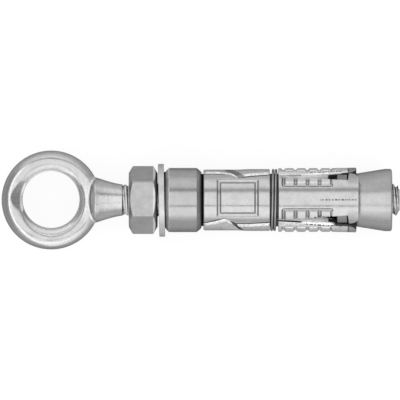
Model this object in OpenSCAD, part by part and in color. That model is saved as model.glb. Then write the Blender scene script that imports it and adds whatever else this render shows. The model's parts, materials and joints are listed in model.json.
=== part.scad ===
// Shield anchor with an eye bolt.
// A forged eye bolt screws into a cone nut. Turning the hex nut draws the bolt and the cone
// back, and the cone opens four steel segments against the wall of a drilled hole.
// The bolt runs along X and the hole of the eye along Z. The origin is the middle of the eye.

/* [Eye bolt] */
// Outer diameter of the eye
eye_d = 21.7; // [18:0.1:26]
// Diameter of the hole through the eye
eye_hole_d = 12.6; // [11:0.1:14]
// Thickness of the forged bar that makes the eye
eye_bar_d = 5; // [4.4:0.1:6]
// Diameter of the neck where it meets the eye
neck_base_d = 10; // [8:0.1:11]
// Length of the tapered neck
neck_len = 5.75; // [4:0.05:8]
// How far the foot of the neck reaches into the eye from its outside
neck_foot_in = 1; // [0.6:0.05:1.6]
// Radius on the edge of the neck's foot
neck_edge_r = 0.3; // [0.1:0.05:0.5]
// How strongly the side of the neck is hollowed, where 1 is a straight cone
neck_bow = 1.35; // [1:0.05:2]
// Diameter of the plain shank behind the thread
shank_d = 6.9; // [6:0.1:7.2]
// Length of bare shank between the neck and the nut
shank_len = 1.4; // [0.5:0.1:6]
// Outer diameter of the thread
thread_d = 7.8; // [7.2:0.05:8]
// Length of the taper where the thread starts
thread_start_len = 1; // [0.5:0.1:2]
// How far the threaded end stands out past the cone nut
tail_len = 1.7; // [1:0.1:12]
// Diameter of the threaded end's tip
tail_tip_d = 6.2; // [5:0.1:7]
// Length of the taper on the threaded end
tail_taper_len = 3.4; // [2:0.1:6]

/* [Nut and washer] */
// Width of the hex nut across its flats
nut_flats = 13; // [12:0.1:14]
// Thickness of the hex nut
nut_h = 6.35; // [5:0.05:8]
// Diameter at which the nut's end chamfers start
nut_face_d = 11.7; // [10.5:0.1:12.5]
// Slope of the nut's end chamfers in degrees
nut_chamfer_angle = 30; // [15:1:40]
// Angle by which the nut stands turned on the bolt
nut_turned = 2; // [0:0.5:30]
// Depth of the countersink at each end of the nut's bore
nut_sink = 0.5; // [0.2:0.05:0.8]
// Outer diameter of the washer
washer_d = 16; // [14:0.1:20]
// Thickness of the washer
washer_t = 1.3; // [1:0.05:2]
// Room along the bolt in which the loose washer can shift
washer_play = 0.45; // [0.35:0.05:1]
// How far the washer stands above the bolt that rests in it
washer_rise = 0.5; // [0:0.01:0.55]
// How far the washer stands to one side of the bolt
washer_shift = 0.07; // [0:0.01:0.15]
// Angle by which the loose washer leans
washer_lean = 1.1; // [0:0.1:1.2]

/* [Collar] */
// Outer diameter of the collar
collar_d = 14.1; // [13.9:0.05:15]
// Length of the collar
collar_len = 7.75; // [6.5:0.05:10]
// Wall of the collar
collar_wall = 1; // [0.7:0.05:1.2]
// Thickness of the collar's floor behind the washer
collar_floor = 0.9; // [0.6:0.05:1.2]
// Length of the rounding at the washer end
collar_back_round = 0.75; // [0.4:0.05:1]
// Length of the rounding at the open end
collar_mouth_round = 1; // [0.4:0.05:1.2]

/* [Shield] */
// Diameter of the front half of the shield, next to the collar
front_d = 13.36; // [13:0.02:14]
// Diameter of the front half where it meets the spring ring
front_end_d = 13.58; // [13.4:0.02:14]
// Length of the front half of the shield
front_len = 14.45; // [13:0.05:20]
// Gap between the collar and the shoulder of the segments
shoulder_gap = 0.65; // [0.4:0.05:1]
// Chamfer on the shoulder of the segments
shoulder_chamfer = 0.4; // [0.2:0.05:0.5]
// Width of the groove for the spring ring
groove_w = 1.87; // [1.6:0.05:2.5]
// Diameter of the rear half of the shield
rear_d = 14; // [13.8:0.05:14.6]
// Diameter of the shield at its tips
tip_d = 14.22; // [14:0.02:15]
// Length of the rear half of the shield
rear_len = 17.1; // [16:0.05:24]
// Extra length of the two marked segments
marked_extra = 0.5; // [0:0.05:0.8]
// Angle by which the shield stands turned about the bolt
shield_turned = 4.5; // [0:0.5:45]
// Depth of the dent pressed across the plain segments
dent_depth = 0.16; // [0:0.01:0.3]

/* [Segment edges] */
// Half of the slit between two segments
slit_half = 0.07; // [0.05:0.01:0.12]
// Half of the slit between the segment roots inside the collar
root_slit_half = 0.22; // [0.16:0.01:0.4]
// How far a marked segment reaches past the middle of the slit next to the collar
step_reach = 1.05; // [0.6:0.05:1.2]
// How far its edge draws back at the step
step_back = 0.35; // [0.2:0.05:0.6]
// How far the edge on the other side reaches out after its step
step_out = 1.3; // [0.8:0.05:1.5]
// How far a marked segment reaches past the middle of the slit at the spring ring
step_ring = 0.65; // [0.3:0.05:0.9]
// Distance from the shoulder to the step
step_x = 5.6; // [4:0.1:7]
// Length of the step along the bolt
step_len = 2; // [1.2:0.1:2.6]
// Room on each side of a lug of the cone nut in its window
lug_room = 0.35; // [0.25:0.05:0.5]
// How far the wings of a marked segment reach past the middle of the slit
wing_reach = 0.85; // [0.4:0.05:0.9]
// Length of the wings
wing_len = 2.3; // [1.8:0.05:2.8]
// Corner radius of the segment tips
tip_corner_r = 2; // [1:0.1:2.2]

/* [Engraving] */
// Depth of the engraved lines
engrave_depth = 0.3; // [0.1:0.02:0.4]
// Width of the engraved lines
engrave_w = 0.75; // [0.5:0.05:0.9]
// Length of the engraved frame along the bolt
frame_len = 9.2; // [6:0.1:10]
// Width of the engraved frame
frame_w = 8.4; // [5:0.1:8.6]
// Distance from the shoulder to the engraved frame
frame_x = 2.8; // [1.5:0.1:4]
// Number of grip pads in each row
pad_count = 4; // [2:1:5]
// Spacing of the grip notches
pad_pitch = 2.63; // [2:0.01:3]
// Distance from the spring ring to the first notch
pad_start = 1.1; // [0.8:0.05:2]
// Width of a grip notch at the surface
notch_w = 0.8; // [0.5:0.05:1]
// Depth of a grip notch
notch_depth = 0.4; // [0.2:0.05:0.5]
// Distance from the middle of a marked segment to its rows of pads
marked_row_y = 2.7; // [2:0.1:3.2]
// Half width of the row of pads on a plain segment
plain_row_y = 3.3; // [2:0.1:3.6]

/* [Spring ring] */
// Diameter of the spring wire
wire_d = 0.55; // [0.4:0.01:0.6]
// Outer diameter of the spring ring
ring_d = 13.66; // [13.4:0.02:14]
// Spacing of its turns
wire_pitch = 0.64; // [0.6:0.01:0.66]
// Number of turns of the wire
wire_turns = 1.9; // [1:0.1:1.9]
// Room between the ring and the bottom of its groove
ring_slack = 0.49; // [0.47:0.01:0.6]

/* [Cone nut] */
// Largest diameter of the cone nut
cone_d = 13.68; // [13:0.02:14.2]
// Length of the cone nut
cone_len = 13.8; // [12:0.1:16]
// Half angle of the cone in degrees
cone_angle = 9.2; // [7:0.1:10]
// Straight land at the wide end of the cone
cone_land = 1.55; // [1:0.05:2]
// Rounding of the wide end of the cone
cone_round = 0.6; // [0.2:0.05:0.9]
// How far the cone reaches into the shield
cone_in = 6; // [5:0.1:8]
// Width of the lugs on the cone
lug_w = 2; // [1.2:0.1:2.2]
// Length of the lugs on the cone
lug_len = 2.3; // [1.5:0.1:3]
// Distance across two opposite lugs
lug_d = 13.4; // [12.4:0.1:13.8]
// Gap between a lug and the wing behind it
lug_gap = 0.2; // [0.1:0.05:0.5]

/* [Fits] */
// Radial room between the thread and the nuts that run on it
thread_room = 0.1; // [0.05:0.01:0.2]
// Radial room between the thread and the washer
washer_room = 0.6; // [0.55:0.01:1]
// Radial room between the thread and the collar's hole
collar_room = 0.5; // [0.3:0.05:1]
// Radial room between the thread and the roots of the segments
root_room = 0.4; // [0.3:0.05:0.6]
// Radial room between the thread and the bore of the shield
bore_room = 0.6; // [0.4:0.05:0.8]
// Radial room between the segment roots and the collar
mouth_room = 0.15; // [0.12:0.01:0.3]
// Gap between the segment roots and the floor of the collar
floor_room = 0.3; // [0.2:0.05:0.6]
// Room between the cone and its seat in the segments
seat_room = 0.12; // [0.1:0.01:0.2]

/* [Hidden] */

far = 12;
cut_over = 0.5;
curve_steps = 16;
round_steps = 6;

thread_r = thread_d / 2;
eye_ring_r = (eye_d - eye_bar_d) / 2;

// Stations along the bolt, from the middle of the eye
neck_x = eye_d / 2 - neck_foot_in;
shank_x = neck_x + neck_len;
nut_x = shank_x + shank_len;
washer_x = nut_x + nut_h;
collar_x = washer_x + washer_t + washer_play;
mouth_x = collar_x + collar_len;
root_x = collar_x + collar_floor + floor_room;
front_x = mouth_x + shoulder_gap;
groove_x = front_x + front_len;
rear_x = groove_x + groove_w;
tip_x = rear_x + rear_len;
window_x = tip_x + marked_extra - wing_len;
cone_x = tip_x - cone_in;
cone_end_x = cone_x + cone_len;
lug_x = window_x - lug_gap - lug_len;
tail_x = cone_end_x + tail_len;
notch_x = rear_x + pad_start;

collar_bore_r = collar_d / 2 - collar_wall;
root_r = collar_bore_r - mouth_room;
groove_r = ring_d / 2 - wire_d - ring_slack;
cone_land_x = cone_end_x - cone_land;

function cone_r(x) = cone_d / 2 - (cone_land_x - x) * tan(cone_angle);
function seat_r(x) = cone_r(x) + seat_room / cos(cone_angle);
function cone_x_at(r) = cone_land_x - (cone_d / 2 - r) / tan(cone_angle);

// Outer radius of the rear half, which widens from its last notch to its tips
pads_end_x = notch_x + pad_count * pad_pitch;
function rear_r(x) = rear_d / 2 + (tip_d - rear_d) / 2
    * max(0, x - pads_end_x) / (tip_x - pads_end_x);

// Points [radius, station] of a quarter round in a turned outline
function rounding(r, x, radial, axial, from, to) = [
    for (i = [0 : round_steps]) let (a = from + (to - from) * i / round_steps)
        [r + radial * cos(a), x + axial * sin(a)]];

// A solid turned about the bolt from points [radius, station]
module turned(points) {
    rotate([0, 90, 0]) rotate_extrude($fn = 96) polygon(points);
}

// A round bar along the bolt
module bar(d, from, to) {
    translate([from, 0, 0]) rotate([0, 90, 0]) cylinder(d = d, h = to - from, $fn = 96);
}

module eye_ring() {
    rotate_extrude($fn = 128) translate([eye_ring_r, 0]) circle(d = eye_bar_d, $fn = 64);
}

module neck() {
    base_r = neck_base_d / 2;
    end_r = shank_d / 2;
    foot = [[0, eye_ring_r - eye_bar_d / 4], [eye_bar_d / 2 - neck_edge_r, eye_ring_r]];
    edge = rounding(base_r - neck_edge_r, neck_x, neck_edge_r, neck_edge_r, -40, 60);
    side = [for (i = [1 : curve_steps]) let (t = i / curve_steps)
        [end_r + (base_r - end_r) * pow(1 - t, neck_bow), neck_x + neck_edge_r
            + t * (neck_len - neck_edge_r)]];
    turned(concat(foot, edge, side, [[0, shank_x]]));
}

module eyebolt() {
    taper_x = tail_x - tail_taper_len;
    start_x = nut_x + cut_over;
    color("silver") difference() {
        union() {
            eye_ring();
            neck();
            turned([[0, shank_x - cut_over], [shank_d / 2, shank_x - cut_over],
                    [shank_d / 2, start_x], [thread_r, start_x + thread_start_len],
                    [thread_r, taper_x], [tail_tip_d / 2, tail_x], [0, tail_x]]);
        }
        cylinder(d = eye_hole_d, h = neck_base_d, center = true, $fn = 128);
    }
}

module hex_nut() {
    corner_d = nut_flats / cos(30);
    bore_d = thread_d + 2 * thread_room;
    rise = (far - nut_face_d / 2) * tan(nut_chamfer_angle);
    color("darkgray") difference() {
        intersection() {
            rotate([-nut_turned, 0, 0]) translate([nut_x, 0, 0]) rotate([0, 90, 0])
                rotate(30) cylinder(d = corner_d, h = nut_h, $fn = 6);
            turned([[0, nut_x], [nut_face_d / 2, nut_x], [far, nut_x + rise],
                    [far, nut_x + nut_h - rise], [nut_face_d / 2, nut_x + nut_h],
                    [0, nut_x + nut_h]]);
        }
        bar(bore_d, nut_x - cut_over, nut_x + nut_h + cut_over);
        for (end = [0, 1]) translate([nut_x + end * nut_h, 0, 0]) mirror([end, 0, 0])
            turned([[0, -cut_over], [bore_d / 2 + nut_sink + cut_over, -cut_over],
                    [bore_d / 2, nut_sink], [0, nut_sink]]);
    }
}

module washer() {
    hole_d = thread_d + 2 * washer_room;
    color("gainsboro")
        translate([washer_x + (washer_t + washer_play) / 2, -washer_shift, washer_rise])
        rotate([0, 0, washer_lean]) difference() {
            bar(washer_d, -washer_t / 2, washer_t / 2);
            bar(hole_d, -washer_t, washer_t);
        }
}

// A drawn cup with its floor towards the washer
module collar() {
    outer_r = collar_d / 2;
    back = rounding(outer_r - collar_wall, collar_x + collar_back_round,
                    collar_wall, collar_back_round, -90, 0);
    mouth = rounding(outer_r - collar_wall, mouth_x - collar_mouth_round,
                     collar_wall, collar_mouth_round, 0, 88);
    color("gray") turned(concat(
        [[thread_r + collar_room, collar_x]], back, mouth,
        [[collar_bore_r, mouth_x - cut_over], [collar_bore_r, collar_x + collar_floor],
         [thread_r + collar_room, collar_x + collar_floor]]));
}

// A quarter of the shield before its edges are cut, as a full turned shell
module shell(end_x, dent) {
    front_r = front_d / 2;
    dent_x = front_x + step_x - step_len;
    body = [
        [root_r, root_x], [root_r, front_x],
        [front_r - shoulder_chamfer, front_x], [front_r, front_x + shoulder_chamfer],
        [front_r, dent_x], [front_r - dent, dent_x + step_len],
        [front_r, dent_x + 2 * step_len], [front_end_d / 2, dent_x + 3 * step_len],
        [front_end_d / 2, groove_x], [groove_r, groove_x], [groove_r, rear_x],
        [rear_d / 2, rear_x], [rear_d / 2, pads_end_x], [rear_r(end_x), end_x]];
    bore_r = thread_r + bore_room;
    root_bore_r = thread_r + root_room;
    turned(concat(body, [[seat_r(end_x), end_x], [bore_r, cone_x_at(bore_r - seat_room)],
        [bore_r, front_x + cut_over], [root_bore_r, front_x], [root_bore_r, root_x]]));
}

// Stations where an edge line turns, kept clear of the shoulder and of the groove's walls
root_end_x = front_x - shoulder_gap / 2;
front_end_x = groove_x + groove_w / 4;
window_start_x = rear_x - groove_w / 4;
window_half = lug_w / 2 + lug_room;

// Edge of a segment as points [station, reach past the middle of the slit]. A marked segment
// has side 1 and its plain neighbour side -1 of the same line in the front half. The step
// leans back on one edge and out on the other.
function front_edge(side, leans_out) = let (
        a = front_x + step_x, b = a + step_len,
        line = leans_out
            ? [[root_end_x, step_reach], [a - step_len / 2, -step_back],
               [b - step_len / 4, step_out], [front_end_x, step_ring]]
            : [[root_end_x, step_reach], [a, step_reach],
               [b, -step_back], [front_end_x, step_ring]])
    [for (p = line) [p[0], side * p[1] - slit_half]];

// The rest of the edge: the root inside the collar, the window that widens for the lug,
// and the tip, which has a wing on a marked segment
function root_edge() = [[root_x - 1, -root_slit_half], [root_end_x, -root_slit_half]];
function corner(x, reach) = [
    for (i = [0 : round_steps]) let (a = 90 * (1 - i / round_steps))
        [x - tip_corner_r + tip_corner_r * cos(a), reach - tip_corner_r + tip_corner_r * sin(a)]];
function window_edge(end_x, wing) = concat(
    [[window_start_x, -slit_half], [window_x, -window_half]],
    wing ? [[window_x, wing_reach]] : [],
    corner(end_x, wing ? wing_reach : -window_half));

// Everything on the segment's side of one edge line, for the edge towards +Y
module edge_keep(side, leans_out, end_x, wing) {
    line = concat(root_edge(), front_edge(side, leans_out), window_edge(end_x, wing));
    rotate([-45, 0, 0]) linear_extrude(height = 2 * far, center = true)
        polygon(concat([[root_x - 1, -far]], line,
            [[end_x + 1, line[len(line) - 1][1]], [end_x + 1, -far]]));
}

// Cuts its children's outline, drawn in X and Y, into the outside of the segment
module engrave(depth) {
    intersection() {
        linear_extrude(height = far) children();
        turned([[front_d / 2 - depth, front_x], [front_end_d / 2 - depth, groove_x],
                [rear_d / 2 - depth, rear_x], [rear_d / 2 - depth, tip_x],
                [far, tip_x], [far, front_x]]);
    }
}

// The grip notches, turned about the bolt, kept within the outline of the children
module notches() {
    r = rear_d / 2;
    intersection() {
        linear_extrude(height = far) children();
        union() for (i = [0 : pad_count]) translate([notch_x + i * pad_pitch, 0, 0])
            turned([[r - notch_depth, -notch_w / 8], [r - notch_depth, notch_w / 8],
                    [r + 1, 3 * notch_w / 4], [r + 1, -3 * notch_w / 4]]);
    }
}

module row_line(y) {
    translate([notch_x - engrave_w / 2, y - engrave_w / 2])
        square([pad_count * pad_pitch + engrave_w, engrave_w]);
}

module marked_segment() {
    end_x = tip_x + marked_extra;
    color("lightgray") difference() {
        intersection() {
            shell(end_x, 0);
            edge_keep(1, false, end_x, true);
            mirror([0, 1, 0]) edge_keep(1, true, end_x, true);
        }
        engrave(engrave_depth) translate([front_x + frame_x, -frame_w / 2]) difference() {
            square([frame_len, frame_w]);
            translate([engrave_w, engrave_w])
                square([frame_len - 2 * engrave_w, frame_w - 2 * engrave_w]);
        }
        for (side = [-1, 1]) {
            engrave(engrave_depth) row_line(side * marked_row_y);
            notches() translate([rear_x, side > 0 ? marked_row_y : -far])
                square([rear_len, far - marked_row_y]);
        }
    }
}

module plain_segment() {
    color("silver") difference() {
        intersection() {
            shell(tip_x, dent_depth);
            edge_keep(-1, true, tip_x, false);
            mirror([0, 1, 0]) edge_keep(-1, false, tip_x, false);
        }
        for (side = [-1, 1]) engrave(engrave_depth) row_line(side * plain_row_y);
        notches() translate([rear_x, -plain_row_y]) square([rear_len, 2 * plain_row_y]);
    }
}

// Stands a segment at a number of quarter turns from the top, which is towards +Z
module placed(quarter) {
    rotate([-shield_turned - 90 * quarter, 0, 0]) children();
}

// Spring wire swept along a helix in the groove
module spring_ring() {
    sides = 8;
    steps = 32;
    ring_r = (ring_d - wire_d) / 2;
    count = round(wire_turns * steps);
    mid_x = groove_x + groove_w / 2;
    start_x = mid_x - wire_pitch * wire_turns / 2;
    function place(i, k) = let (turn = 180 + 360 * i / steps, a = 360 * k / sides,
            r = ring_r + wire_d / 2 * cos(a))
        [start_x + wire_pitch * i / steps + wire_d / 2 * sin(a),
         r * sin(turn), r * cos(turn)];
    points = [for (i = [0 : count]) for (k = [0 : sides - 1]) place(i, k)];
    walls = [for (i = [0 : count - 1]) for (k = [0 : sides - 1])
        let (a = i * sides + k, b = i * sides + (k + 1) % sides) each [
            [a, b, a + sides], [b, b + sides, a + sides]]];
    ends = [[for (k = [sides - 1 : -1 : 0]) k],
            [for (k = [0 : sides - 1]) count * sides + k]];
    color("dimgray") polyhedron(points = points, faces = concat(walls, ends));
}

module cone_nut() {
    bore_d = thread_d + 2 * thread_room;
    end_r = cone_d / 2;
    color("darkgray") difference() {
        union() {
            turned(concat([[0, cone_x], [cone_r(cone_x), cone_x], [end_r, cone_land_x]],
                rounding(end_r - cone_round, cone_end_x - cone_round,
                         cone_round, cone_round, 0, 90),
                [[0, cone_end_x]]));
            placed(0) for (k = [0 : 3]) rotate([45 + 90 * k, 0, 0]) intersection() {
                translate([lug_x, -lug_w / 2, thread_r + thread_room + cut_over])
                    cube([lug_len, lug_w, far]);
                bar(lug_d, lug_x - 1, lug_x + lug_len + 1);
            }
        }
        bar(bore_d, cone_x - cut_over, cone_end_x + cut_over);
    }
}

eyebolt();
hex_nut();
washer();
collar();
placed(0) marked_segment();  // segment_upper
placed(1) plain_segment();  // segment_left
placed(2) marked_segment();  // segment_lower
placed(3) plain_segment();  // segment_right
spring_ring();
cone_nut();
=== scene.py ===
import json
from collections import namedtuple
from functools import reduce
from math import cos, pi, radians, sin, sqrt, tan

import bmesh
import bpy
import numpy as np
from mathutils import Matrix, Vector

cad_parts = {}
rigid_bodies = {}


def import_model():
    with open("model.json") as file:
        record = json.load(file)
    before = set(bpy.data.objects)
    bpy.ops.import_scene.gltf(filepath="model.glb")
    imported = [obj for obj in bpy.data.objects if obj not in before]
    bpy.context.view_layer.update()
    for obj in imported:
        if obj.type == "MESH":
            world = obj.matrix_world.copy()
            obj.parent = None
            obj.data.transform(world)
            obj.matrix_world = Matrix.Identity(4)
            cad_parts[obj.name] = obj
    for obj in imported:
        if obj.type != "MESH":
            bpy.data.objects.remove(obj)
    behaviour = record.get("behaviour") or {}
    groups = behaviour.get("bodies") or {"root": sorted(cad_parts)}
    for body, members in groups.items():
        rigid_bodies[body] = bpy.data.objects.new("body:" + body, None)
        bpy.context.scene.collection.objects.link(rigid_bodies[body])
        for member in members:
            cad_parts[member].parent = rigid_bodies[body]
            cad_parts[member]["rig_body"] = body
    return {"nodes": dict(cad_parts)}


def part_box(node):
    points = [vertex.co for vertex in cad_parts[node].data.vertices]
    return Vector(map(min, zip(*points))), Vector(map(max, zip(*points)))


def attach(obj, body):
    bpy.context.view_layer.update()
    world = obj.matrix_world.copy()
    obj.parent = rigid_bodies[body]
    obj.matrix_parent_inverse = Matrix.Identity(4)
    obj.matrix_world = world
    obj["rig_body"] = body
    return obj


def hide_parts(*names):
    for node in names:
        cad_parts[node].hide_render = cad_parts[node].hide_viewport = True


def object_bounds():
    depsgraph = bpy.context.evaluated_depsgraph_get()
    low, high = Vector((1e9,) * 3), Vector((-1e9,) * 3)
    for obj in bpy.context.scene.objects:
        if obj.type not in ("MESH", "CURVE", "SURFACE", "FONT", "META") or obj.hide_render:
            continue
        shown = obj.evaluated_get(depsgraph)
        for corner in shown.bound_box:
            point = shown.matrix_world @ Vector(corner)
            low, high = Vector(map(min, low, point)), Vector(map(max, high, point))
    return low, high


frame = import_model()
cad_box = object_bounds()

MM = 0.001
MICRON = 1e-6


def span(node):
    """First and last station of a node along the bolt, in millimetres."""
    lo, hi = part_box(node)
    return lo.x / MM, hi.x / MM


# Stations along the bolt, from the middle of the eye
EYE_START, TAIL_X = span("eyebolt")
NUT_X, NUT_END_X = span("hex_nut")
COLLAR_X, MOUTH_X = span("collar")
ROOT_X, MARKED_END_X = span("segment_upper")
TIP_X = span("segment_left")[1]
CONE_X, CONE_END_X = span("cone_nut")
FRONT_X = MOUTH_X + 0.65
GROOVE_X = FRONT_X + 14.45
REAR_X = GROOVE_X + 1.87
NOTCH_X = REAR_X + 1.1
WINDOW_X = MARKED_END_X - 2.3
NECK_X = -EYE_START - 1.0
SHANK_X = NECK_X + 5.75

# Eye bolt
EYE_BAR_R = 2.5
EYE_RING_R = -EYE_START - EYE_BAR_R - 0.007
EYE_HOLE_R = 6.24
EYE_HOLE_Y = 0.12
EYE_HOLE_ROUND = 0.35
SCOOP_X = -4.85
SCOOP_Y = 0.5
SCOOP_R = 3.9
SCOOP_TOP_Z = 2.4
SCOOP_SLOPE = 1.35
SCOOP_ROUND = 0.12
SCOOP_EDGE_R = 6.87
SCOOP_POINT_X = -8.85
SCOOP_POINT_Y = 0.4
NECK_BASE_R = 5.0
NECK_BOW = 1.35
NECK_BACK_X = EYE_RING_R + 0.1
NECK_BACK_SLOPE = 0.23
NECK_BACK_ROUND = 1.6
NECK_FILLET = 0.5
SKIN_CELL = 0.16
SHANK_R = 3.45
THREAD_R = 3.9
THREAD_DEPTH = 0.55
THREAD_START_DEPTH = 0.28
THREAD_PITCH = 1.25
THREAD_ROOT = 0.16
THREAD_FLANK = 0.68
THREAD_START_R = 3.4
TAIL_TIP_R = 3.25
TAIL_TAPER = 3.4

# Nut, washer and collar
NUT_FLATS = 13.0
NUT_FACE_R = 5.85
NUT_BORE_R = 4.0
NUT_SINK = 0.5
NUT_CHAMFER = 30
NUT_EDGE_ROUND = 0.25
NUT_CHAMFER_ROUND = 0.2
NUT_TURNED = 2.0
WASHER_R = 7.995
WASHER_T = 1.3
WASHER_HOLE_R = 4.5
WASHER_LEAN = 1.1
COLLAR_R = 7.05
COLLAR_BORE_R = 6.05
COLLAR_HOLE_R = 4.4
COLLAR_FLOOR = 0.9
LIP_X = MOUTH_X + 0.15
BOSS_X = COLLAR_X - 0.36

# Shield
ROOT_R = 5.9
NECKED_R = 5.75
FRONT_R = 6.68
FRONT_END_R = 6.79
GROOVE_R = 5.79
REAR_R = 7.0
TIP_R = 7.11
ROOT_BORE_R = 4.3
BORE_R = 4.5
SEAT_ROOM = 0.12
SHIELD_TURNED = 4.5
EDGE_X = FRONT_X - 0.11
SLIT_HALF = 0.07
ROOT_SLIT_HALF = 0.22
WING_REACH = 0.85
TIP_CORNER_R = 2.0
END_ROUND = 0.25
THINNEST = 0.08
STEP_A = FRONT_X + 5.6
STEP_B = STEP_A + 2.0

# Dents, engraving and pads of the shield
DENT_DEPTH = 0.34
DENT_LEN = 3.9
DENT_FADE = 3.4
ENGRAVE_DEPTH = 0.36
ENGRAVE_WALL = 0.38
ENGRAVE_W = 0.8
FRAME_LINE_W = 1.0
FRAME_LEN = 9.2
FRAME_W = 8.4
FRAME_MIDDLE_X = FRONT_X + 2.8 + FRAME_LEN / 2
PAD_COUNT = 4
PAD_PITCH = 2.63
PAD_LINE_DEPTH = 0.26
NOTCH_DEPTH = 0.4
NOTCH_W = 1.0
MARKED_ROW_Y = 2.7
PLAIN_ROW_Y = 3.3

# Spring ring
SPRING_R = 6.83
SPRING_WIRE_R = 0.275
SPRING_PITCH = 0.64
SPRING_TURNS = 1.9

# Cone nut
CONE_R = 6.84
CONE_ANGLE = 9.2
CONE_LAND_X = CONE_END_X - 1.55
CONE_BORE_R = 4.0
LUG_W = 2.0
LUG_LEN = 2.3
LUG_R = 6.7
LUG_BEVEL = 0.3
LUG_X = WINDOW_X - 0.2 - LUG_LEN
WINDOW_HALF = LUG_W / 2 + 0.35

# Camera, in metres, and the floor's half size
CAMERA_HEIGHT = 2.0
VIEW_MIDDLE_X = 0.03265
VIEW_WIDTH = 0.08772
SENSOR_WIDTH = 36.0
FLOOR_HALF = 3.0


# Meshes


def grid_faces(rows, columns, closed_rows=False):
    """Faces between rows of points, where each row is a closed loop."""
    i, j = np.meshgrid(np.arange(rows - (not closed_rows)), np.arange(columns), indexing="ij")
    after_i = (i + 1) % rows
    after_j = (j + 1) % columns
    corners = [i * columns + j, i * columns + after_j, after_i * columns + after_j,
               after_i * columns + j]
    return np.stack(corners, -1).reshape(-1, 4).tolist()


def tube_faces(rows, columns):
    """Faces between rows of points, with a face over each end."""
    first = list(range(columns))
    last = [(rows - 1) * columns + k for k in first]
    return grid_faces(rows, columns) + [first, last[::-1]]


def piece(name, shells, sharp=40, marks=None):
    """An object made of shells, each a pair of points in millimetres and faces.

    Edges from sharp degrees up stay sharp, and the material reads the marks, a value for each
    point, by their name.
    """
    flat = [np.reshape(points, (-1, 3)) for points, _ in shells]
    faces = []
    start = 0
    for points, (_, shell_faces) in zip(flat, shells):
        faces += [[start + k for k in face] for face in shell_faces]
        start += len(points)
    mesh = bpy.data.meshes.new(name)
    mesh.from_pydata((np.concatenate(flat) * MM).tolist(), [], faces)
    for mark, values in (marks or {}).items():
        mesh.attributes.new(mark, "FLOAT", "POINT").data.foreach_set("value", values.ravel())
    bm = bmesh.new()
    bm.from_mesh(mesh)
    bmesh.ops.remove_doubles(bm, verts=bm.verts, dist=1e-8)
    bmesh.ops.recalc_face_normals(bm, faces=bm.faces)
    bm.to_mesh(mesh)
    bm.free()
    mesh.shade_smooth()
    mesh.set_sharp_from_angle(angle=radians(sharp))
    obj = bpy.data.objects.new(name, mesh)
    bpy.context.scene.collection.objects.link(obj)
    return obj


def dress(obj, node, material):
    """Puts a piece in the place of its node, on the node's body."""
    obj.data.materials.append(material)
    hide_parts(node)
    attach(obj, frame["nodes"][node]["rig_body"])


def rounded(corners, steps=6, support=0.06):
    """A closed outline from corners [x, r, rounding], with a short flat run beside each arc."""
    outline = []
    count = len(corners)
    for k, (x, r, size) in enumerate(corners):
        here = np.array([x, r])
        before = np.array(corners[k - 1][:2]) - here
        after = np.array(corners[(k + 1) % count][:2]) - here
        if size <= 0:
            outline.append(here)
            continue
        to_before = before / np.linalg.norm(before)
        to_after = after / np.linalg.norm(after)
        start, end = here + to_before * size, here + to_after * size
        outline.append(start + to_before * support)
        for t in np.linspace(0, 1, steps + 1):
            outline.append((1 - t) ** 2 * start + 2 * t * (1 - t) * here + t ** 2 * end)
        outline.append(end + to_after * support)
    return np.array(outline)


def about_bolt(x, r, turn):
    """Points at stations, radii and angles about the bolt, where +Z is at angle zero."""
    x, y, z = np.broadcast_arrays(x, r * np.sin(turn), r * np.cos(turn))
    return np.stack([x, y, z], -1)


def lathe(outline, steps=192):
    """A closed outline of points [x, r] turned about the bolt."""
    turn = np.linspace(0, 2 * pi, steps, endpoint=False)
    points = about_bolt(outline[:, :1], outline[:, 1:], turn)
    return points, grid_faces(len(outline), steps, closed_rows=True)


def turned(points, degrees):
    """Points turned about the bolt, as rotate turns them in the part's source."""
    a = radians(degrees)
    y = points[..., 1] * cos(a) - points[..., 2] * sin(a)
    z = points[..., 1] * sin(a) + points[..., 2] * cos(a)
    return np.stack([points[..., 0], y, z], -1)


def between(x, start, end, fade=0.02):
    """One from start to end, falling to zero over the fade outside them."""
    return np.clip((x - start) / fade + 1, 0, 1) * np.clip((end - x) / fade + 1, 0, 1)


def strongest(*marks):
    """The largest of several marks at each point."""
    return reduce(np.maximum, marks)


# Eye bolt


def join_soft(a, b, reach):
    """Union of two distance fields with a fillet of about the given reach."""
    near = np.maximum(reach - np.abs(a - b), 0) / reach
    return np.minimum(a, b) - near ** 2 * reach / 4


def meet_soft(a, b, reach):
    """Intersection of two distance fields with a rounded edge."""
    return -join_soft(-a, -b, reach)


def neck_r(x):
    """Radius of the hollow-sided neck."""
    t = np.clip((x - NECK_X) / (SHANK_X - NECK_X), 0, 1)
    return SHANK_R + (NECK_BASE_R - SHANK_R) * (1 - t) ** NECK_BOW


def eye_field(p):
    """Distance from the forged eye and neck, negative inside."""
    x, y, z = p[:, 0], p[:, 1], p[:, 2]
    flat_r = np.hypot(x, y)
    bolt_r = np.hypot(y, z)
    ring = np.hypot(flat_r - EYE_RING_R, z) - EYE_BAR_R
    ring = meet_soft(ring, EYE_HOLE_R - np.hypot(x, y - EYE_HOLE_Y), EYE_HOLE_ROUND)
    ring = meet_soft(ring, wear_field(x, y, z), SCOOP_ROUND)
    neck = meet_soft(bolt_r - neck_r(x), neck_back(x, bolt_r), NECK_BACK_ROUND)
    neck = meet_soft(neck, x - SHANK_X - 0.1, 0.1)
    return join_soft(ring, neck, NECK_FILLET)


def wear_field(x, y, z):
    """Depth inside the scoop that wear left in the eye's far end, a cone that narrows downwards.
    """
    scoop_r = SCOOP_R - SCOOP_SLOPE * (SCOOP_TOP_Z - z)
    return (scoop_r - np.hypot(x - SCOOP_X, y - SCOOP_Y)) * 0.6


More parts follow.
